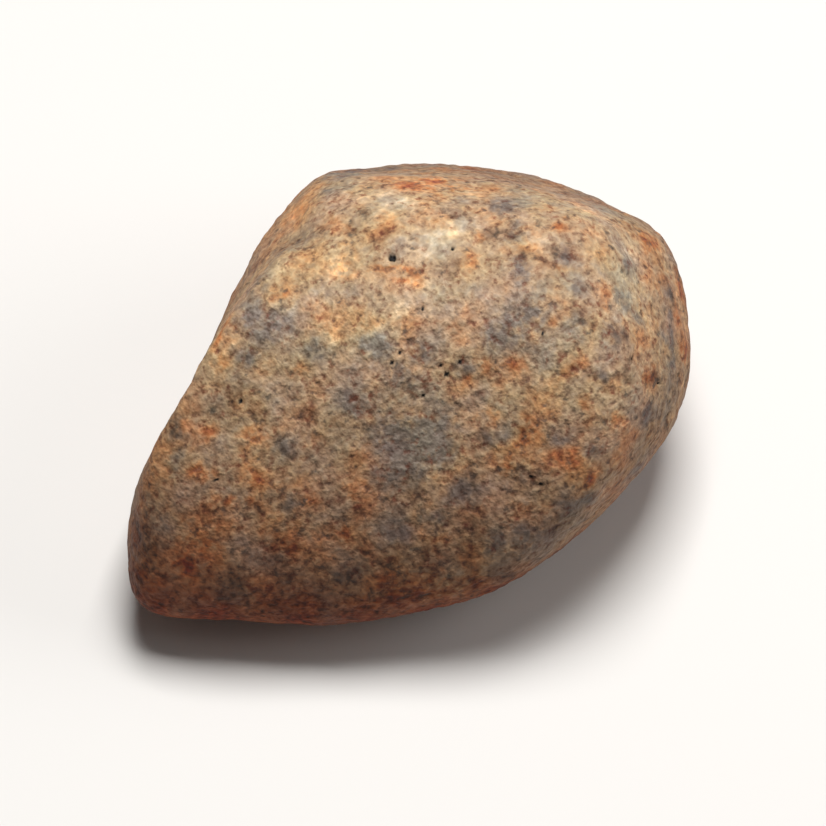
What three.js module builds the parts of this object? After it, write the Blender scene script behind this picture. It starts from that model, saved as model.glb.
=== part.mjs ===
// A wind-smoothed stony meteorite (chondrite), 35 mm long, found as one loose stone.
//
// It is a blunt wedge: pointed and low at the -X end, high and broad at the +X end, with a
// sloping plateau towards -Y, a nearly level upper facet, a steep far side and a gently
// domed belly that comes to rest on one small flat spot. Everything is one solid.
//
// Millimetres, +Z up. The origin lies at the bottom centre of the stone's box, with the
// flat spot in the plane z = 0 and the long axis along X.

import * as THREE from 'three';
import { mergeVertices } from 'three/addons/utils/BufferGeometryUtils.js';

// ---------------------------------------------------------------- driving dimensions

const HEART = new THREE.Vector3(0.95, -0.4, 7.95); // the inner point that facets are measured from
const GRID = 28; // squares along each edge of the cube that is blown up into the stone
const PROPORTIONS = new THREE.Vector3(1.25, 1.0, 0.75); // spreads the squares evenly over the stone

const WORN = 12; // how tightly worn facets meet: higher is sharper
const CRISP = 36; // the same for the fresh breaks

// Facets worn round by wind and sand: [azimuth, elevation] of the outward normal in degrees,
// azimuth counted from +X towards +Y, and distance from the heart in mm.
const WORN_FACETS = {
  plateau: [-130, 48, 8.9],
  upperFacet: [-154, 84, 10.9],
  upperBack: [56, 70, 12.0],
  rightShoulder: [-39, 42, 14.2],
  noseTop: [176, 20, 18.2],
  lowerRight: [-76, 8, 13.1],
  brow: [-129, 24, 10.4],

  noseTip: [148, -10, 18.4],
  noseSide: [130, 1, 13.7],
  farLeftTop: [83, 33, 15.3],
  farTop: [57, 36, 12.5],
  farRightTop: [33, 33, 12.5],
  rightCorner: [-3, 23, 17.8],
  rightEnd: [-25, 7, 16.3],
  rightLower: [-40, -6, 16.3],
  frontRight: [-78, -24, 12.0],
  frontMiddle: [-103, -33, 13.4],
  frontLeft: [-125, -35, 12.25],
  frontWall: [-128, -6, 13.9],

  belly: [0, -90, 8.5],
  bellyFront: [-92, -72, 9.5],
  bellyBack: [84, -68, 9.8],
  bellyNose: [172, -79, 9.8],
  bellyEnd: [-8, -74, 10.0],
  skirtBack: [80, -30, 12.8],
  skirtEnd: [-5, -38, 14.8],
  skirtFront: [-110, -44, 13.6],
};

// The younger breaks on the far left, which still have a sharp edge against the plateau.
const FRESH_FACETS = {
  breakFace: [107.5, 31, 11.7],
  farLeftWall: [115.5, 11, 10.65],
};

// Shallow hollows (minus) and swells (plus): place in mm from the heart, radius and rise in mm.
const SWELLS = [
  { at: [-12.0, 4.4, 6.5], radius: 2.4, rise: -0.6 }, // waist of the far left edge
  { at: [-2.3, 7.2, 10.2], radius: 1.1, rise: -0.5 }, // bite in the rim of the break
  { at: [5.5, 11.6, 0.5], radius: 3.4, rise: -0.45 }, // thumbprint on the back
  { at: [14.6, -3.0, -2.6], radius: 3.0, rise: -0.35 }, // thumbprint on the blunt end
  { at: [-2.0, -10.6, -3.6], radius: 2.6, rise: -0.3 }, // dent under the front wall
];

// Long, low undulations: direction [azimuth, elevation], wavelength and rise in mm, phase in degrees.
const RIPPLES = [
  { along: [20, 10], length: 13.0, rise: 0.12, phase: 40 },
  { along: [95, -25], length: 10.5, rise: 0.11, phase: 200 },
  { along: [-50, 35], length: 9.0, rise: 0.09, phase: 310 },
  { along: [150, 50], length: 7.5, rise: 0.07, phase: 75 },
  { along: [60, -60], length: 6.2, rise: 0.06, phase: 160 },
];
const CALM_LEVEL = -8.2; // mm from the heart: the height at which the belly has no undulation
const CALM_REACH = 2.6; // mm above that level within which it fades in

// ---------------------------------------------------------------- the stone's surface

const radians = THREE.MathUtils.degToRad;

function unit(azimuth, elevation) {
  const a = radians(azimuth);
  const e = radians(elevation);
  return new THREE.Vector3(Math.cos(a) * Math.cos(e), Math.sin(a) * Math.cos(e), Math.sin(e));
}

function planes(facets) {
  return Object.values(facets).map(([azimuth, elevation, distance]) =>
    unit(azimuth, elevation).divideScalar(distance));
}

const wornPlanes = planes(WORN_FACETS);
const freshPlanes = planes(FRESH_FACETS);
const swells = SWELLS.map(({ at, radius, rise }) => ({ at: new THREE.Vector3(...at), radius, rise }));
const ripples = RIPPLES.map(({ along, length, rise, phase }) =>
  ({ wave: unit(...along).multiplyScalar((2 * Math.PI) / length), rise, phase: radians(phase) }));

// Sum of (direction . normal / distance) ^ power: 1 on a lone facet, more near an edge.
function crowding(direction, facetPlanes, power) {
  return facetPlanes.reduce((sum, p) => sum + Math.max(0, direction.dot(p)) ** power, 0);
}

// Distance from the heart to the faceted body, with its edges rounded.
function facetedRadius(direction) {
  const worn = crowding(direction, wornPlanes, WORN) ** (1 / WORN);
  return (worn ** CRISP + crowding(direction, freshPlanes, CRISP)) ** (-1 / CRISP);
}

// Swells, hollows and undulations, as a height along the ray from the heart.
function relief(place) {
  let height = 0;
  for (const { at, radius, rise } of swells) {
    height += rise * Math.exp(-place.distanceToSquared(at) / (2 * radius * radius));
  }
  const calm = 1 - Math.exp(-(((place.z - CALM_LEVEL) / CALM_REACH) ** 2));
  for (const { wave, rise, phase } of ripples) {
    height += calm * rise * Math.sin(place.dot(wave) + phase);
  }
  return height;
}

// The surface point in a direction from the heart. Where the belly would pass below z = 0,
// the point slides up its own ray to that plane, which leaves the flat spot.
function surfacePoint(direction) {
  const radius = facetedRadius(direction);
  const full = radius + relief(direction.clone().multiplyScalar(radius));
  const toFloor = direction.z < 0 ? HEART.z / -direction.z : Infinity;
  const point = direction.clone().multiplyScalar(Math.min(full, toFloor)).add(HEART);
  if (full > toFloor) point.z = 0;
  return point;
}

function stoneGeometry() {
  const box = new THREE.BoxGeometry(2, 2, 2, GRID, GRID, GRID);
  box.deleteAttribute('normal');
  box.deleteAttribute('uv');
  const geometry = mergeVertices(box);
  const position = geometry.getAttribute('position');
  const even = (t) => Math.tan((t * Math.PI) / 4); // keeps squares near the cube's edges from shrinking
  for (let i = 0; i < position.count; i += 1) {
    const corner = new THREE.Vector3(position.getX(i), position.getY(i), position.getZ(i));
    const direction = new THREE.Vector3(even(corner.x), even(corner.y), even(corner.z));
    const point = surfacePoint(direction.multiply(PROPORTIONS).normalize());
    position.setXYZ(i, point.x, point.y, point.z);
  }
  geometry.computeVertexNormals();
  return geometry;
}

const weatheredStone = new THREE.MeshStandardMaterial({
  color: 0x9b7a5e, // desert-weathered chondrite: tan and rust brown over grey
  roughness: 0.78,
  metalness: 0.0,
});

const stone = new THREE.Mesh(stoneGeometry(), weatheredStone);
stone.name = 'meteorite_stone';

const meteorite = new THREE.Group();
meteorite.add(stone);

export default meteorite;
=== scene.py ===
"""A desert-weathered stony meteorite (chondrite), 35 mm long, on a pale studio floor.

The stone is one piece: a skin worked out with numpy on six joined grids, from the same worn
facets as the solid that it replaces, with grain, lumps and pinhole pits carved into it.
Lengths in the tables are millimetres; meshes are metres.
"""

import math

import bpy
import numpy as np
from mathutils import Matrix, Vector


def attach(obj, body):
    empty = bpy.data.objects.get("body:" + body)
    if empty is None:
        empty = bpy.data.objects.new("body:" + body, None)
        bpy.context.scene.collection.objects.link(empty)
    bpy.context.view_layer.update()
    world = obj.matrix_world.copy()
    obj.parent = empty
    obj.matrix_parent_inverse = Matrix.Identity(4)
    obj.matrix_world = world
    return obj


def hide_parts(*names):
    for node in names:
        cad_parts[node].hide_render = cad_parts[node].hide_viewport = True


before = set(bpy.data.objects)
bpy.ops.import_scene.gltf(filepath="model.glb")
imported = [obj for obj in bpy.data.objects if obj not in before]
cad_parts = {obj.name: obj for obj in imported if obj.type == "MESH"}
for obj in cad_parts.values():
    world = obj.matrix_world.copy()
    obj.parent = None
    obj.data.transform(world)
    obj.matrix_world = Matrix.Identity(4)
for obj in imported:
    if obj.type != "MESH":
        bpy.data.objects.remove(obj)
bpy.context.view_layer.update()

MM = 0.001

# ------------------------------------------------------------------ the stone's form

HEART = np.array([0.95, -0.4, 7.95])  # the inner point that facets are measured from
SQUARES = np.array([176, 126, 86])  # grid squares along X, Y and Z of the cube that becomes the stone
PROPORTIONS = np.array([1.25, 1.0, 0.75])  # spreads the squares evenly over the stone

WORN = 12  # how tightly worn facets meet: higher is sharper
CRISP = 36  # the same for the fresh breaks

# Azimuth and elevation of each facet's outward normal in degrees, and distance from the heart.
WORN_FACETS = {
    "plateau": (-130, 48, 8.9),
    "upper_facet": (-154, 84, 10.9),
    "upper_back": (56, 70, 12.0),
    "right_shoulder": (-39, 42, 14.2),
    "nose_top": (176, 20, 18.2),
    "lower_right": (-76, 8, 13.1),
    "brow": (-129, 24, 10.4),
    "nose_tip": (148, -10, 18.4),
    "nose_side": (130, 1, 13.7),
    "far_left_top": (83, 33, 15.3),
    "far_top": (57, 36, 12.5),
    "far_right_top": (33, 33, 12.5),
    "right_corner": (-3, 23, 17.8),
    "right_end": (-25, 7, 16.3),
    "right_lower": (-40, -6, 16.3),
    "front_right": (-78, -24, 12.0),
    "front_middle": (-103, -33, 13.4),
    "front_left": (-125, -35, 12.25),
    "front_wall": (-128, -6, 13.9),
    "belly": (0, -90, 8.5),
    "belly_front": (-92, -72, 9.5),
    "belly_back": (84, -68, 9.8),
    "belly_nose": (172, -79, 9.8),
    "belly_end": (-8, -74, 10.0),
    "skirt_back": (80, -30, 12.8),
    "skirt_end": (-5, -38, 14.8),
    "skirt_front": (-110, -44, 13.6),
}
FRESH_FACETS = {
    "break_face": (107.5, 31, 11.7),
    "far_left_wall": (115.5, 11, 10.65),
}

# Hollows (minus) and swells (plus): place from the heart, radius, rise.
SWELLS = [
    ((-12.0, 4.4, 6.5), 2.4, -0.6),  # waist of the far left edge
    ((-2.3, 7.2, 10.2), 1.1, -0.5),  # bite in the rim of the break
    ((5.5, 11.6, 0.5), 3.4, -0.45),  # thumbprint on the back
    ((14.6, -3.0, -2.6), 3.0, -0.35),  # thumbprint on the blunt end
    ((-2.0, -10.6, -3.6), 2.6, -0.3),  # dent under the front wall
]

# Long, low undulations: azimuth and elevation, wavelength, rise, phase in degrees.
RIPPLES = [
    ((20, 10), 13.0, 0.12, 40),
    ((95, -25), 10.5, 0.11, 200),
    ((-50, 35), 9.0, 0.09, 310),
    ((150, 50), 7.5, 0.07, 75),
    ((60, -60), 6.2, 0.06, 160),
]
CALM_LEVEL = -8.2  # height from the heart at which the belly has no undulation
CALM_REACH = 2.6  # distance above that level within which it fades in

# Fine relief of the wind-worn surface: lattice size, rise and random seed of each layer of bumps.
GRAIN = [(3.4, 0.045, 1), (1.5, 0.045, 2), (0.75, 0.058, 3), (0.42, 0.048, 4)]
SINK = 0.10  # the skin lies this far inside the facets, so that its bumps stay within them
LATTICE_VALUES = 256  # random values that the corners of a lattice share
LATTICE_SHIFT = 40  # added to every place, so that none is below zero on a lattice

# ------------------------------------------------------------------ marks on the stone

# Marks are placed on a plane through the heart, which is seen by a viewer at the front left.
# These are the azimuth of its across direction and the elevation that it faces. A mark's place
# is (across, up) from the heart on it, and the mark lands on the surface straight before it.
ACROSS_AZIMUTH = -38
FACING_ELEVATION = 60

# How each stain changes the stone: (iron, tone). Iron runs from grey (minus) through tan to
# rust (plus), and tone from dark (minus) to pale (plus).
STAIN_SHIFTS = {
    "bone": (-0.03, 0.34),  # pale, leached patches
    "chalk": (-0.16, 0.22),  # whitish inclusions
    "ochre": (0.34, 0.06),  # yellow-orange iron stain
    "rust": (0.33, -0.24),  # red-brown iron hydroxide
    "slate": (-0.46, -0.25),  # grey remains of the melted crust
    "umber": (0.07, -0.52),  # dark purple-brown clusters
    "varnish_and_painted_shade": (0.15, -0.35),  # dark red-brown along the foot: partly desert varnish, partly painted shade and painted red reflected light
}

# Spots: (across, up, radius).
SPOTS = {
    "bone": [
        (-1.1, 10.0, 1.2), (-2.2, 10.2, 0.6), (-0.3, 10.0, 0.8), (1.2, 11.2, 0.9), (1.1, 7.9, 1.0),
        (2.2, 8.3, 0.8), (0.0, 7.3, 0.8), (3.4, 10.6, 0.6), (9.4, 9.6, 0.9), (6.4, 8.0, 0.7),
        (-3.8, 6.6, 0.8), (-0.6, 4.6, 0.7), (11.0, 6.0, 0.6), (7.4, 11.0, 0.7), (-7.0, 6.6, 0.5),
        (10.4, 1.0, 0.6), (-4.2, 2.9, 0.7), (12.6, 3.6, 0.5), (0.4, 5.6, 0.8), (-1.8, 2.7, 1.1),
        (-0.8, -3.3, 0.9), (-13.2, -4.0, 0.8), (-12.3, -9.6, 0.8), (11.4, 5.0, 0.7), (10.2, -5.2, 0.8),
        (-6.6, 9.4, 0.7), (-0.6, 11.4, 0.6), (11.6, 7.6, 0.8), (-6.2, 4.2, 0.5),
    ],
    "chalk": [
        (-5.1, 5.0, 0.8), (12.2, 5.4, 0.9), (11.0, 4.2, 0.7), (11.4, 7.2, 0.6), (1.8, 8.5, 0.7),
        (-0.4, 10.1, 0.5), (6.6, 10.4, 0.5), (-0.2, 4.4, 0.5), (1.0, -2.6, 1.1), (0.8, 7.8, 0.8),
        (2.7, 8.8, 0.6),
    ],
    "ochre": [
        (0.2, 11.0, 1.3), (1.7, 11.3, 1.0), (2.6, 10.9, 0.8), (-7.2, 5.1, 0.7), (-10.0, 1.5, 0.6),
        (-9.2, 3.3, 0.3), (-8.5, -4.3, 0.9), (-10.4, -2.1, 0.6), (-11.4, -4.4, 0.6), (-6.5, 9.4, 1.2),
        (-7.2, 8.2, 0.8), (4.0, -1.6, 0.9), (6.1, -2.0, 0.9), (8.2, -3.4, 1.0), (5.4, -3.9, 0.8),
        (-3.4, 6.6, 0.8), (10.6, -1.6, 0.8), (-8.6, -2.4, 0.6), (14.1, 4.2, 0.7), (14.5, 2.0, 0.6),
        (12.6, 8.2, 0.7), (0.1, 5.9, 0.4), (-3.0, -5.2, 0.7), (2.9, 7.0, 0.5), (8.0, 6.6, 0.4),
        (-10.2, -5.6, 0.6), (3.3, 8.2, 0.4), (9.6, -4.6, 0.7), (-7.2, 11.0, 0.7), (-11.3, -8.0, 1.3),
        (-1.8, 3.4, 0.5), (-6.6, 4.5, 0.5),
    ],
    "rust": [
        (8.4, 7.4, 0.5), (10.2, 5.3, 0.6), (5.3, 1.6, 0.6), (1.2, 11.2, 0.7), (-6.8, -8.1, 0.9),
        (1.5, -10.2, 1.4), (-1.0, -10.6, 1.2), (2.9, -10.0, 1.0), (-13.0, -4.2, 0.5), (12.6, 1.1, 0.7),
        (7.8, 8.9, 0.5), (-6.0, 1.0, 0.5), (7.4, 3.4, 0.4), (9.0, -0.6, 0.4), (-4.0, -7.6, 0.8),
        (-8.9, -5.7, 0.5), (5.8, -6.2, 0.5), (3.3, 12.0, 0.5), (-12.0, -9.4, 0.8), (8.8, 1.3, 0.7),
        (-5.6, -5.9, 0.5), (4.0, 1.5, 0.6), (3.2, 0.8, 0.4),
    ],
    "slate": [
        (-3.7, 11.6, 0.9), (-4.6, 10.7, 0.6), (-1.4, 12.0, 0.6), (-6.7, 7.8, 1.3), (-8.4, 5.6, 0.9),
        (-8.2, 4.3, 0.8), (-8.1, 3.1, 0.9), (-6.8, 3.7, 0.8), (-9.1, 1.6, 0.7), (-1.6, 2.2, 0.9),
        (5.0, 9.8, 0.9), (5.3, 9.0, 0.5), (5.3, 8.2, 0.7), (8.1, 10.6, 0.5), (6.2, 4.1, 1.5),
        (5.2, 3.1, 1.1), (8.3, 5.9, 0.6), (4.5, 2.8, 0.45), (-0.8, -2.4, 1.7), (1.0, -2.2, 1.5),
        (-0.6, -4.0, 1.4), (-6.9, -3.1, 0.8), (4.0, -2.2, 0.6), (4.7, -2.1, 0.5), (7.9, -2.5, 0.7),
        (9.6, -3.1, 0.4), (9.9, 0.8, 0.4), (12.4, -1.4, 0.5), (12.0, -4.0, 0.6), (6.3, -4.1, 0.5),
        (8.4, -6.1, 0.8), (5.8, -7.8, 0.9), (4.4, -8.2, 0.9), (-0.7, -7.5, 0.8), (-3.4, -9.5, 0.9),
        (13.5, 3.1, 0.5), (13.8, 1.6, 0.5), (13.5, 5.6, 0.5), (11.2, 4.6, 0.7), (12.0, 3.8, 0.6),
        (11.6, 6.6, 0.5), (2.9, -5.2, 0.8), (-12.4, -3.9, 0.7), (-12.6, -1.9, 0.7), (9.4, -5.6, 0.7),
        (-5.2, 2.4, 0.7), (6.0, 8.3, 0.4), (-3.0, -0.6, 0.8), (2.9, 1.2, 0.5), (5.6, 6.4, 0.8),
        (10.6, 3.0, 0.8), (-6.6, -6.1, 0.7), (-2.4, -4.5, 0.6), (1.4, -6.8, 0.7), (0.4, 2.2, 0.8),
        (-0.5, 0.7, 0.9), (8.4, 3.7, 0.8), (8.2, 7.1, 0.6),
    ],
    "umber": [
        (-1.9, 7.9, 0.35), (-1.5, 8.5, 0.3), (-5.0, 8.6, 0.35), (-2.5, 9.5, 0.35), (-3.0, 8.6, 0.35),
        (-2.0, 6.8, 0.3), (4.1, 8.2, 0.4), (5.3, 8.4, 0.5), (5.8, 7.1, 0.4), (3.1, -6.9, 0.9),
        (2.6, -8.4, 0.9), (-9.4, -0.2, 0.6), (-8.2, -0.9, 0.5), (-10.3, -0.9, 0.4), (-11.4, -0.8, 0.4),
        (-6.7, 7.8, 0.6), (6.3, -4.2, 0.7), (10.1, 0.6, 0.6), (6.0, -1.8, 0.5), (-12.6, -1.8, 0.7),
        (-13.5, -8.2, 0.8), (-3.9, -2.0, 0.5), (3.6, -2.3, 0.4), (6.2, -4.4, 0.4), (12.3, -1.4, 0.4),
        (-7.0, -9.4, 1.0), (-9.6, -10.4, 1.0), (-4.8, -10.8, 0.9), (5.0, -9.8, 0.8), (12.8, 1.0, 0.6),
        (7.8, 7.4, 0.4), (-10.9, -6.3, 0.5), (-8.4, -6.2, 0.4), (-6.7, -3.5, 0.3), (0.3, -5.6, 0.4),
        (-2.9, -6.2, 0.6), (1.0, -8.8, 0.9), (7.4, -7.4, 0.6), (-5.0, -2.6, 0.4), (10.8, -5.0, 0.4),
        (-3.4, -9.6, 0.8), (-1.6, -9.2, 0.8), (10.8, 3.0, 0.7), (9.6, 3.6, 0.5), (-5.6, -1.0, 0.6),
        (2.0, 6.6, 0.45), (2.3, 9.4, 0.35), (11.2, 1.2, 0.6), (-2.4, -8.6, 0.8), (-0.4, -8.8, 0.7),
        (-8.6, 6.4, 0.4), (3.3, -4.4, 0.5), (9.2, -1.6, 0.4), (-3.2, -3.4, 0.4), (8.8, 4.6, 0.45),
    ],
    # Along the foot: partly desert varnish, partly painted shade and painted red reflected light.
    "varnish_and_painted_shade": [
        (-14.5, -10.8, 3.2), (-10.5, -11.8, 3.0), (-6.5, -12.0, 3.0), (-2.5, -12.0, 2.8),
        (1.0, -11.6, 2.6), (4.5, -10.6, 2.2), (8.0, -8.8, 1.2), (-14.8, -8.0, 1.6),
    ],
}

# Streaks: (across, up) at both ends, radius.
STREAKS = {
    # The last two bone streaks run down the right rim: partly the stone's pale colour, partly painted
    # light that the rim catches.
    "bone": [(0.8, 7.1, 2.4, 8.2, 0.45), (13.4, 7.4, 14.6, 3.4, 0.5), (14.7, 2.6, 14.0, -1.2, 0.5)],
    "ochre": [
        (-2.2, 6.5, 0.0, 6.4, 0.18), (-1.0, 5.9, 0.4, 5.8, 0.14), (-9.4, 4.4, -10.6, 2.2, 0.25),
        (-6.7, 9.9, -9.6, 5.4, 0.5), (14.3, 6.0, 14.9, 1.0, 0.5),
    ],
    "slate": [
        (-6.5, 8.0, -9.0, 3.4, 0.55), (13.6, 4.4, 13.9, 1.4, 0.3), (-4.5, 11.5, -2.6, 12.1, 0.4),
    ],
    "umber": [
        (-0.3, 6.3, 2.4, 6.8, 0.18), (-8.9, 6.0, -7.9, 7.2, 0.3), (3.6, 7.9, 4.5, 8.3, 0.2),
        (6.6, 7.0, 7.8, 6.6, 0.18), (13.5, 6.2, 13.9, 4.6, 0.2),
    ],
}
RAGGED = [(1.6, 0.45, 210), (0.6, 0.25, 220)]  # wobble of the edges: lattice size, reach, first seed
FIRM_RADIUS = 0.6  # stains narrower than this wobble less
TINY = 1e-9  # keeps a streak of no length from dividing by nothing
NEARNESS = 0.02  # how much being nearer to the viewer counts against lying off to the side

# Pinhole pits: (across, up, radius, depth).
PITS = [
    (-1.1, 7.2, 0.25, 0.26), (2.15, 7.7, 0.16, 0.20), (0.6, 4.4, 0.13, 0.15),
    (-0.65, 2.1, 0.14, 0.14), (-1.1, 1.5, 0.15, 0.16), (1.45, 1.4, 0.14, 0.18),
    (1.8, 1.0, 0.17, 0.20), (2.5, 1.5, 0.15, 0.18), (0.5, -0.2, 0.13, 0.14),
    (11.7, 1.8, 0.14, 0.18), (13.1, 0.4, 0.13, 0.16), (-10.5, -4.6, 0.15, 0.16),
    (6.3, -4.6, 0.15, 0.16), (6.9, -4.9, 0.16, 0.20), (6.9, 3.1, 0.11, 0.12),
    (-9.2, -0.5, 0.15, 0.14),
]
OTHER_PITS = 60  # pinholes scattered over the stone, of which those on the near side are dropped
OTHER_PIT_RADII = (0.11, 0.19)  # smallest and largest; each is as deep as its radius
OTHER_PIT_SEED = 11
NEAR_SIDE = 4  # height above the marks' plane from which the placed pinholes take over


def unit(azimuth, elevation):
    """The direction at an azimuth from +X towards +Y and an elevation, in degrees."""
    a, e = math.radians(azimuth), math.radians(elevation)
    return np.array([math.cos(a) * math.cos(e), math.sin(a) * math.cos(e), math.sin(e)])


def crowding(directions, facets, power):
    """Sum over the facets of (direction . normal / distance) ^ power, none below zero."""
    planes = np.array([unit(azimuth, elevation) / distance
                       for azimuth, elevation, distance in facets.values()])
    return (np.maximum(directions @ planes.T, 0) ** power).sum(axis=1)


def faceted_radius(directions):
    """Distance from the heart to the rounded facets: (worn ^ CRISP + fresh) ^ (-1 / CRISP),
    where fresh is the fresh facets' crowding and worn the worn facets' crowding ^ (1 / WORN)."""
    worn = crowding(directions, WORN_FACETS, WORN) ** (1 / WORN)
    return (worn**CRISP + crowding(directions, FRESH_FACETS, CRISP)) ** (-1 / CRISP)


def fresh_share(directions):
    """How far each place lies on a fresh break, from 0 to 1: fresh / (worn ^ CRISP + fresh),
    with the same worn and fresh as in faceted_radius."""
    worn = crowding(directions, WORN_FACETS, WORN) ** (1 / WORN)
    fresh = crowding(directions, FRESH_FACETS, CRISP)
    return fresh / (worn**CRISP + fresh)


def broad_relief(places):
    """Gaussian swells, rise * exp(-distance^2 / 2 radius^2), and sine ripples that fade out
    towards the belly."""
    height = np.zeros(len(places))
    for at, radius, rise in SWELLS:
        height += rise * np.exp(-((places - at) ** 2).sum(axis=1) / (2 * radius**2))
    calm = 1 - np.exp(-(((places[:, 2] - CALM_LEVEL) / CALM_REACH) ** 2))
    for along, length, rise, phase in RIPPLES:
        turns = places @ unit(*along) / length + phase / 360
        height += calm * rise * np.sin(2 * math.pi * turns)
    return height


def bumps(places, size, seed):
    """Smooth random height from -1 to 1: a random value at each corner of a cubic lattice of
    this size, blended between the eight nearest corners with t^2 (3 - 2 t) along each axis."""
    draw = np.random.default_rng(seed)
    shuffle = draw.permutation(LATTICE_VALUES)
    values = draw.uniform(-1, 1, LATTICE_VALUES)
    cells = (places + LATTICE_SHIFT) / size
    corner = np.floor(cells).astype(int)
    part = cells - corner
    part = part * part * (3 - 2 * part)
    height = np.zeros(len(places))
    for step in np.ndindex(2, 2, 2):
        x, y, z = ((corner + step) % LATTICE_VALUES).T
        key = shuffle[(shuffle[(shuffle[x] + y) % LATTICE_VALUES] + z) % LATTICE_VALUES]
        share = np.where(np.array(step) == 1, part, 1 - part).prod(axis=1)
        height += share * values[key]
    return height


def lattice():
    """The six faces of a cube as grids of whole-number corners, with shared corners merged.
    Returns the corners, the squares as corner numbers facing out, each square's chart, which
    is twice its axis and one more on the far side, and the places of each square's corners."""
    corners, squares, charts = [], [], []
    count = 0
    for axis in range(3):
        b, c = (axis + 1) % 3, (axis + 2) % 3
        for side in (0, 1):
            rows, columns = np.meshgrid(np.arange(SQUARES[b] + 1), np.arange(SQUARES[c] + 1),
                                        indexing="ij")
            grid = np.zeros((rows.size, 3), int)
            grid[:, axis] = side * SQUARES[axis]
            grid[:, b] = rows.ravel()
            grid[:, c] = columns.ravel()
            number = count + np.arange(rows.size).reshape(rows.shape)
            ring = [number[:-1, :-1], number[1:, :-1], number[1:, 1:], number[:-1, 1:]]
            if side == 0:
                ring.reverse()
            squares.append(np.stack([r.ravel() for r in ring], axis=1))
            charts.append(np.full(len(squares[-1]), 2 * axis + side))
            corners.append(grid)
            count += rows.size
    corners = np.concatenate(corners)
    squares = np.concatenate(squares)
    span = SQUARES + 1
    key = (corners[:, 0] * span[1] + corners[:, 1]) * span[2] + corners[:, 2]
    _, first, merged = np.unique(key, return_index=True, return_inverse=True)
    return corners[first], merged[squares], np.concatenate(charts), corners[squares]


def surface(corners):
    """The skin's points as directions from the heart and distances along them. Each cube
    corner, spread by tan(t * 45 degrees) and stretched by the proportions, gives a direction,
    and the rounded facets, the broad relief and the fine bumps give the distance."""
    spread = np.tan((2 * corners / SQUARES - 1) * math.pi / 4) * PROPORTIONS
    directions = spread / np.linalg.norm(spread, axis=1, keepdims=True)
    radius = faceted_radius(directions)
    radius += broad_relief(directions * radius[:, None])
    places = directions * radius[:, None]
    fine = sum(rise * bumps(places, size, seed) for size, rise, seed in GRAIN)
    radius += np.minimum(fine - SINK, 0)
    return directions, radius


def facing_plane():
    """The plane's across and up directions, and the direction towards the viewer."""
    a, e = math.radians(ACROSS_AZIMUTH), math.radians(FACING_ELEVATION)
    across = np.array([math.cos(a), math.sin(a), 0])
    towards = np.array([math.sin(a) * math.cos(e), -math.cos(a) * math.cos(e), math.sin(e)])
    return across, np.cross(towards, across), towards


def landing(places, across, up):
    """The place on the near side of the stone that lies straight before (across, up)."""
    right, above, towards = facing_plane()
    away = np.hypot(places @ right - across, places @ above - up)
    return places[np.argmin(away - NEARNESS * (places @ towards))]


def edge_wobble(places):
    """Random shifts, smooth from place to place, that make the edges of the stains ragged."""
    wobble = np.zeros_like(places)
    for size, reach, seed in RAGGED:
        for axis in range(3):
            wobble[:, axis] += reach * bumps(places, size, seed + axis)
    return wobble


def stain_weight(places, wobble, name):
    """How strongly one stain colours each place: the largest exp(-(distance / radius)^2) of
    its spots and streaks, 1 at their middles, with the distance taken from the wobbly place."""
    weight = np.zeros(len(places))
    ends = [(across, up, across, up, radius) for across, up, radius in SPOTS.get(name, [])]
    for across, up, far_across, far_up, radius in ends + STREAKS.get(name, []):
        start, end = landing(places, across, up), landing(places, far_across, far_up)
        run = end - start
        from_start = places + wobble * min(1, radius / FIRM_RADIUS) - start
        along = np.clip(from_start @ run / max(run @ run, TINY), 0, 1)
        away = np.linalg.norm(from_start - along[:, None] * run, axis=1)
        weight = np.maximum(weight, np.exp(-((away / radius) ** 2)))
    return weight


def pit_depth(places):
    """Depth of the pinholes, depth * exp(-(distance / radius)^4): the placed ones on the near
    side and scattered ones on the rest. Also returns how far inside a pinhole each place is."""
    depth, inside = np.zeros(len(places)), np.zeros(len(places))
    _, _, towards = facing_plane()
    draw = np.random.default_rng(OTHER_PIT_SEED)
    pits = [(landing(places, across, up), radius, deep) for across, up, radius, deep in PITS]
    for spot in places[draw.integers(0, len(places), OTHER_PITS)]:
        radius = draw.uniform(*OTHER_PIT_RADII)
        if spot @ towards < NEAR_SIDE:
            pits.append((spot, radius, radius))
    for spot, radius, deep in pits:
        away = np.linalg.norm(places - spot, axis=1)
        shape = np.exp(-((away / radius) ** 4))
        depth = np.maximum(depth, deep * shape)
        inside = np.maximum(inside, shape)
    return depth, inside


def atlas(charts, grid_corners):
    """Texture places for baking: the six grids in three rows of two, each filling its cell but
    for a narrow margin. Widths and heights are shares of the whole."""
    margin = 0.008
    cell = 0.5  # width
    rows = {2: (0, 0.435), 0: (0.435, 0.72), 1: (0.72, 1)}  # heights, keyed by the grids' axis
    uv = np.zeros((*grid_corners.shape[:2], 2))
    for axis in range(3):
        b, c = (axis + 1) % 3, (axis + 2) % 3
        wide, high = (b, c) if SQUARES[b] > SQUARES[c] else (c, b)
        low, top = rows[axis]
        for side in (0, 1):
            chosen = charts == 2 * axis + side
            u = grid_corners[chosen][..., wide] / SQUARES[wide]
            v = grid_corners[chosen][..., high] / SQUARES[high]
            uv[chosen, :, 0] = cell * side + margin + u * (cell - 2 * margin)
            uv[chosen, :, 1] = low + margin + v * (top - low - 2 * margin)
    return uv


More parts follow.
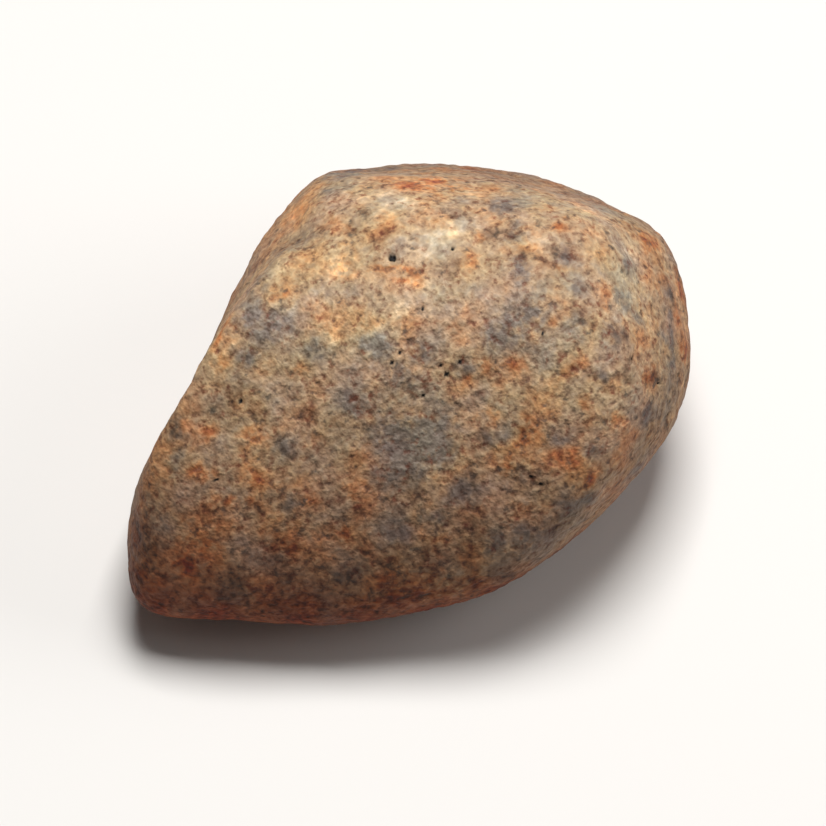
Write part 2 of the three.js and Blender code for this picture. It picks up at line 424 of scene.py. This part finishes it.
def stone_skin():
    """The stone's skin: one closed grid surface. Where the belly would pass below the floor,
    a point slides up its own ray to it, which leaves the flat spot."""
    corners, squares, charts, grid_corners = lattice()
    directions, radius = surface(corners)
    places = directions * radius[:, None]
    depth, inside = pit_depth(places)
    radius = radius - depth
    to_floor = np.full(len(radius), np.inf)
    down = directions[:, 2] < 0
    to_floor[down] = -HEART[2] / directions[down, 2]
    points = directions * np.minimum(radius, to_floor)[:, None] + HEART
    points[radius > to_floor, 2] = 0

    mesh = bpy.data.meshes.new("meteorite_skin")
    mesh.from_pydata(points * MM, [], squares)
    mesh.shade_smooth()
    wobble = edge_wobble(places)
    stains = {name: stain_weight(places, wobble, name) for name in STAIN_SHIFTS}
    layers = {
        "iron": sum(iron * stains[name] for name, (iron, _) in STAIN_SHIFTS.items()),
        "tone": sum(tone * stains[name] for name, (_, tone) in STAIN_SHIFTS.items()),
        "varnish_and_painted_shade": stains["varnish_and_painted_shade"],
        "pit": inside,
        "fresh": fresh_share(directions),
    }
    for name, values in layers.items():
        layer = mesh.attributes.new(name, "FLOAT", "POINT")
        layer.data.foreach_set("value", values.astype(np.float32))
    uv_map = mesh.uv_layers.new(name="OFBake")
    uv_map.uv.foreach_set("vector", atlas(charts, grid_corners).ravel().astype(np.float32))
    mesh.validate()
    skin = bpy.data.objects.new("meteorite_skin", mesh)
    bpy.context.scene.collection.objects.link(skin)
    return skin


# ------------------------------------------------------------------ materials


def linear(hex_colour):
    """Turns an sRGB hex colour into the linear values that shaders take."""
    parts = [int(hex_colour[i : i + 2], 16) / 255 for i in (1, 3, 5)]
    return [p / 12.92 if p <= 0.04045 else ((p + 0.055) / 1.055) ** 2.4 for p in parts] + [1.0]


def add(tree, kind, inputs=None, **settings):
    """Adds a node of one kind with its settings, and sets or links its inputs."""
    node = tree.nodes.new(kind)
    for name, value in settings.items():
        setattr(node, name, value)
    for socket, value in (inputs or {}).items():
        if isinstance(value, bpy.types.NodeSocket):
            tree.links.new(value, node.inputs[socket])
        else:
            node.inputs[socket].default_value = value
    return node


def new_material(name):
    """A material without nodes, and its node tree."""
    material = bpy.data.materials.new(name)
    material.use_nodes = True
    material.node_tree.nodes.clear()
    return material, material.node_tree


CONTRAST = 3.0  # how much brighter a grain of tone 1 is than one of tone 0
GRAIN_SPREAD = 1.2  # how far the grains' tones spread round their mean
NOISE_MIDDLE = 0.5  # of the values of every cloudy noise
HALO = 0.4  # how much more iron there is round the dark grains
FRESH_IRON = 0.6  # iron of the fresh breaks
FRESH_CALM = 0.5  # how far the iron on a fresh break is drawn to that
DARK_CROWDING = -0.14  # how much a mark of tone 1 changes the level that lets in dark grains
FRESH_CROWDING = -0.07  # the same for a fresh break
SWIRL = 0.9  # size in mm of the swirls that bend the patches
BEND = 0.7  # how far they bend them in mm, from end to end
SEED_HEIGHT = 0.8  # how much the dark grains' noise adds to the bumps, where the fine grains' adds 1
BUMP = 0.14  # height of the bumps in mm
SHEEN = 0.25  # strength of the mirror-like part of the reflection
PIT_COLOUR = "#0A0706"  # the shadow inside a pinhole

# The ground mass by how much rusted iron stains it.
IRON_COLOURS = {
    0.0: "#857D71",
    0.25: "#9A8A74",
    0.45: "#AD9372",
    0.62: "#B68B61",
    0.80: "#AC7145",
    1.0: "#85432E",
}

# The dark grains, from one kind to the next: rusted metal, old crust and weathered olivine.
SPECK_COLOURS = {0.0: "#6E3E2C", 0.35: "#674837", 0.65: "#615042", 1.0: "#575249"}

# Cloudy noises that the finish is mixed from. For each: size of its blobs in mm, a shift in mm
# that makes it differ from the others, and how many finer layers it has and how strong they are.
GRAIN_CLOUDS = {
    "flicker": (0.55, 17, 1.5, 0.60),  # the grains that a stain takes hold of
    "seeds": (0.42, 307, 2.2, 0.60),  # the dark grains
    "grains": (0.34, 89, 1.0, 0.50),  # the ground mass's own fine grains
}
PATCH_CLOUDS = {
    "iron": (2.2, 53, 3.0, 0.52),  # patches of rusted iron
    "crowd": (2.0, 131, 3.0, 0.60),  # where dark grains crowd together
    "kind": (0.9, 211, 2.0, 0.60),  # which kind of dark grain
    "hue": (3.0, 467, 3.0, 0.60),  # slow changes of hue
}

# How a noise, a mark or a height becomes a share: its values from and to, and what they
# become, which is 0 and 1 where nothing else is given.
RANGES = {
    "hold": (0.38, 0.60, 0.5, 1.35),  # of a stain on the grains, by the flicker noise
    "patches": (0.10, 0.98),  # iron, by the iron noise
    "crowd": (0.3, 0.7, 0.40, 0.48),  # level below which the seeds' noise is a dark grain
    "speck": (-0.06, 0.14, 0.0, 0.88),  # dark grain, by how far the seeds' noise is below it
    "kind": (0.35, 0.65),  # of dark grain, by the kind noise
    "dark": (0.3, -0.5),  # by tone
    "hue": (0.35, 0.65),  # by the hue noise
    "low_painted_shade": (18 * MM, 10 * MM),  # by height: painted shade, darker towards the bottom
    "foot_painted_shade_and_red_light": (7 * MM, 2 * MM),  # by height: painted shade and painted red reflected light round the foot
    "hole": (0.1, 0.8),  # by how far a place is inside a pinhole
    "roughness": (0.1, 0.6, 0.58, 0.76),  # by iron
}

# What the colour is multiplied by, as red, green and blue, at none and at all of a share.
TINTS = {
    "dark": ((0.99, 1.00, 0.99), (1.07, 0.93, 0.89)),  # dark grains are redder than pale ones
    "hue": ((1.00, 1.01, 0.96), (1.03, 0.96, 1.015)),  # slow changes over the whole stone
    "low_painted_shade": ((1.0, 1.0, 1.0), (0.62, 0.55, 0.54)),  # painted shade: darker towards the bottom of the stone
    "foot_painted_shade_and_red_light": ((1.0, 1.0, 1.0), (0.97, 0.66, 0.52)),  # painted shade and painted red reflected light: darker and redder all round the foot
    "varnish_and_painted_shade": ((1.0, 1.0, 1.0), (0.82, 0.45, 0.34)),  # dark and red where it is marked: partly varnish, partly painted shade and painted red reflected light
}


def weathered_chondrite():
    """Ordinary chondrite, worn by wind and stained by its own rusting metal: tan ground mass
    peppered with dark grains a third of a millimetre across, grey, orange and red-brown
    patches, and a matt surface that is a little glossier where the old crust remains."""
    material, tree = new_material("weathered_chondrite")
    place = add(tree, "ShaderNodeTexCoord").outputs["Object"]
    marks = {name: add(tree, "ShaderNodeAttribute", attribute_name=name).outputs["Fac"]
             for name in ("iron", "tone", "varnish_and_painted_shade", "pit", "fresh")}
    limits = {name: dict(zip(("From Min", "From Max", "To Min", "To Max"), values))
              for name, values in RANGES.items()}

    # The patches are bent by up to a third of a millimetre, so that none is round.
    swirl = add(tree, "ShaderNodeTexNoise",
                {"Vector": place, "Scale": 1 / (SWIRL * MM), "Detail": 2.0}).outputs["Color"]
    bend = add(tree, "ShaderNodeVectorMath", {0: swirl, 1: (-NOISE_MIDDLE,) * 3},
               operation="ADD").outputs[0]
    bent = add(tree, "ShaderNodeVectorMath", {0: bend, 1: (BEND * MM,) * 3, 2: place},
               operation="MULTIPLY_ADD").outputs[0]
    clouds = {}
    for space, table in ((place, GRAIN_CLOUDS), (bent, PATCH_CLOUDS)):
        for name, (size, shift, layers, strength) in table.items():
            offset = (shift * MM, 2 * shift * MM, -shift * MM)
            moved = add(tree, "ShaderNodeVectorMath", {0: space, 1: offset},
                        operation="ADD").outputs[0]
            clouds[name] = add(tree, "ShaderNodeTexNoise", {"Vector": moved, "Scale": 1 / (size * MM),
                               "Detail": layers, "Roughness": strength}).outputs["Fac"]

    # Every stain takes hold of some grains more than of others.
    hold = add(tree, "ShaderNodeMapRange", {"Value": clouds["flicker"], **limits["hold"]}).outputs[0]
    tone_stain = add(tree, "ShaderNodeMath", {0: marks["tone"], 1: hold},
                     operation="MULTIPLY").outputs[0]

    # Rusted iron, in patches of several sizes at once, and round the dark grains. On a fresh
    # break it is more even.
    patches = add(tree, "ShaderNodeMapRange", {"Value": clouds["iron"], **limits["patches"]}).outputs[0]
    iron = add(tree, "ShaderNodeMath", {0: marks["iron"], 1: hold, 2: patches},
               operation="MULTIPLY_ADD").outputs[0]
    halo = add(tree, "ShaderNodeMath", {0: NOISE_MIDDLE, 1: clouds["seeds"]},
               operation="SUBTRACT").outputs[0]
    iron = add(tree, "ShaderNodeMath", {0: halo, 1: HALO, 2: iron},
               operation="MULTIPLY_ADD").outputs[0]
    calm = add(tree, "ShaderNodeMath", {0: marks["fresh"], 1: FRESH_CALM},
               operation="MULTIPLY").outputs[0]
    iron = add(tree, "ShaderNodeMix", {0: calm, 2: iron, 3: FRESH_IRON}, data_type="FLOAT").outputs[0]
    ground = add(tree, "ShaderNodeValToRGB", {"Fac": iron})

    # Dark grains: wherever the seeds' noise falls below a level, which rises where dark grains
    # crowd together and where the stone is marked dark, and falls on the fresh breaks.
    crowd = add(tree, "ShaderNodeMapRange", {"Value": clouds["crowd"], **limits["crowd"]}).outputs[0]
    level = add(tree, "ShaderNodeMath", {0: marks["tone"], 1: DARK_CROWDING, 2: crowd},
                operation="MULTIPLY_ADD").outputs[0]
    level = add(tree, "ShaderNodeMath", {0: marks["fresh"], 1: FRESH_CROWDING, 2: level},
                operation="MULTIPLY_ADD").outputs[0]
    under = add(tree, "ShaderNodeMath", {0: level, 1: clouds["seeds"]},
                operation="SUBTRACT").outputs[0]
    speck = add(tree, "ShaderNodeMapRange", {"Value": under, **limits["speck"]}).outputs[0]
    kind = add(tree, "ShaderNodeMapRange", {"Value": clouds["kind"], **limits["kind"]}).outputs[0]
    dark_grain = add(tree, "ShaderNodeValToRGB", {"Fac": kind})
    for node, colours in ((ground, IRON_COLOURS), (dark_grain, SPECK_COLOURS)):
        stops = node.color_ramp.elements
        stops[0].color = linear(colours[0.0])
        stops[-1].color = linear(colours[1.0])
        for at, tint in colours.items():
            if 0 < at < 1:
                stops.new(at).color = linear(tint)
    colour = add(tree, "ShaderNodeMix",
                 {0: speck, 6: ground.outputs["Color"], 7: dark_grain.outputs["Color"]},
                 data_type="RGBA").outputs[2]

    # Tone: the ground's own fine grains. The colour is multiplied by CONTRAST ^ tone, so that
    # dark and pale grains weigh the same.
    grain = add(tree, "ShaderNodeMath", {0: clouds["grains"], 1: NOISE_MIDDLE},
                operation="SUBTRACT").outputs[0]
    tone = add(tree, "ShaderNodeMath", {0: grain, 1: GRAIN_SPREAD, 2: tone_stain},
               operation="MULTIPLY_ADD").outputs[0]
    light = add(tree, "ShaderNodeMath", {0: CONTRAST, 1: tone}, operation="POWER").outputs[0]
    colour = add(tree, "ShaderNodeVectorMath", {0: colour, "Scale": light},
                 operation="SCALE").outputs[0]

    # The tints, among them painted shade and painted red reflected light towards the foot, and the
    # painted shadow in the pinholes.
    above = add(tree, "ShaderNodeSeparateXYZ", {0: place}).outputs[2]
    shares = {"varnish_and_painted_shade": marks["varnish_and_painted_shade"]}
    for name, value, fade in (
        ("dark", tone, "LINEAR"),
        ("hue", clouds["hue"], "LINEAR"),
        ("low_painted_shade", above, "SMOOTHSTEP"),
        ("foot_painted_shade_and_red_light", above, "SMOOTHSTEP"),
        ("hole", marks["pit"], "SMOOTHSTEP"),
    ):
        shares[name] = add(tree, "ShaderNodeMapRange", {"Value": value, **limits[name]},
                           interpolation_type=fade).outputs[0]
    for name, (none, full) in TINTS.items():
        tint = add(tree, "ShaderNodeMix", {0: shares[name], 6: (*none, 1.0), 7: (*full, 1.0)},
                   data_type="RGBA").outputs[2]
        colour = add(tree, "ShaderNodeMix", {0: 1.0, 6: colour, 7: tint}, data_type="RGBA",
                     blend_type="MULTIPLY").outputs[2]
    colour = add(tree, "ShaderNodeMix", {0: shares["hole"], 6: colour, 7: linear(PIT_COLOUR)},
                 data_type="RGBA").outputs[2]

    # The grains stand a few hundredths of a millimetre proud, and the dark ones lie lower.
    height = add(tree, "ShaderNodeMath", {0: clouds["seeds"], 1: SEED_HEIGHT, 2: clouds["grains"]},
                 operation="MULTIPLY_ADD").outputs[0]
    bump = add(tree, "ShaderNodeBump",
               {"Height": height, "Strength": 1.0, "Distance": BUMP * MM}).outputs[0]
    roughness = add(tree, "ShaderNodeMapRange", {"Value": iron, **limits["roughness"]}).outputs[0]
    shader = add(tree, "ShaderNodeBsdfPrincipled", {"Base Color": colour, "Roughness": roughness,
                 "Normal": bump, "Specular IOR Level": SHEEN})
    add(tree, "ShaderNodeOutputMaterial", {"Surface": shader.outputs[0]})
    return material


def matt_card():
    """Pale matt card for the floor: even, with no shine."""
    material, tree = new_material("matt_card")
    shader = add(tree, "ShaderNodeBsdfPrincipled",
                 {"Base Color": linear("#DDDAD6"), "Roughness": 0.9})
    add(tree, "ShaderNodeOutputMaterial", {"Surface": shader.outputs[0]})
    return material


# ------------------------------------------------------------------ studio


def floor():
    """A flat square, 4 m across, in the plane that the stone rests on."""
    half = 2.0
    corners = [(-half, -half, 0), (half, -half, 0), (half, half, 0), (-half, half, 0)]
    mesh = bpy.data.meshes.new("studio_floor")
    mesh.from_pydata(corners, [], [(0, 1, 2, 3)])
    mesh.materials.append(matt_card())
    sheet = bpy.data.objects.new("studio_floor", mesh)
    bpy.context.scene.collection.objects.link(sheet)


def panel(name, azimuth, elevation, distance, size, power):
    """A square, white soft light at an azimuth and elevation in degrees, facing the stone. Its
    distance and size are metres, and its power is watts."""
    light = bpy.data.lights.new(name, "AREA")
    light.size = size
    light.energy = power
    lamp = bpy.data.objects.new(name, light)
    place = unit(azimuth, elevation) * distance
    lamp.location = place
    lamp.rotation_euler = Vector(-place).to_track_quat("-Z", "Y").to_euler()
    bpy.context.scene.collection.objects.link(lamp)


def studio():
    """A dim, even sky, a small key light almost straight above, a little behind the stone, and
    a wide, weaker fill from the viewer's right."""
    world = bpy.data.worlds.new("studio")
    world.use_nodes = True
    sky = world.node_tree.nodes["Background"]
    sky.inputs["Color"].default_value = linear("#EDEDED")
    sky.inputs["Strength"].default_value = 0.09
    bpy.context.scene.world = world
    bpy.context.scene.view_settings.view_transform = "Standard"
    panel("key", azimuth=36, elevation=77, distance=0.5, size=0.2, power=3.12)
    panel("fill", azimuth=-35, elevation=32, distance=0.6, size=0.4, power=1.1)


def camera():
    """Looks at the stone straight onto the marks' plane, through a long lens."""
    distance = 0.6
    width = 44.35 * MM  # of the picture, at the stone
    drop = 1.134 * MM  # of the picture's middle below the heart
    data = bpy.data.cameras.new("camera")
    data.sensor_width = 36
    data.lens = data.sensor_width * distance / width
    data.clip_end = 10
    _, above, towards = facing_plane()
    aim = HEART * MM - above * drop
    eye = bpy.data.objects.new("camera", data)
    eye.location = aim + towards * distance
    eye.rotation_euler = Vector(-towards).to_track_quat("-Z", "Y").to_euler()
    bpy.context.scene.collection.objects.link(eye)
    bpy.context.scene.camera = eye


camera()
studio()
floor()
skin = stone_skin()
skin.data.materials.append(weathered_chondrite())
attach(skin, "root")
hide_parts("meteorite_stone")
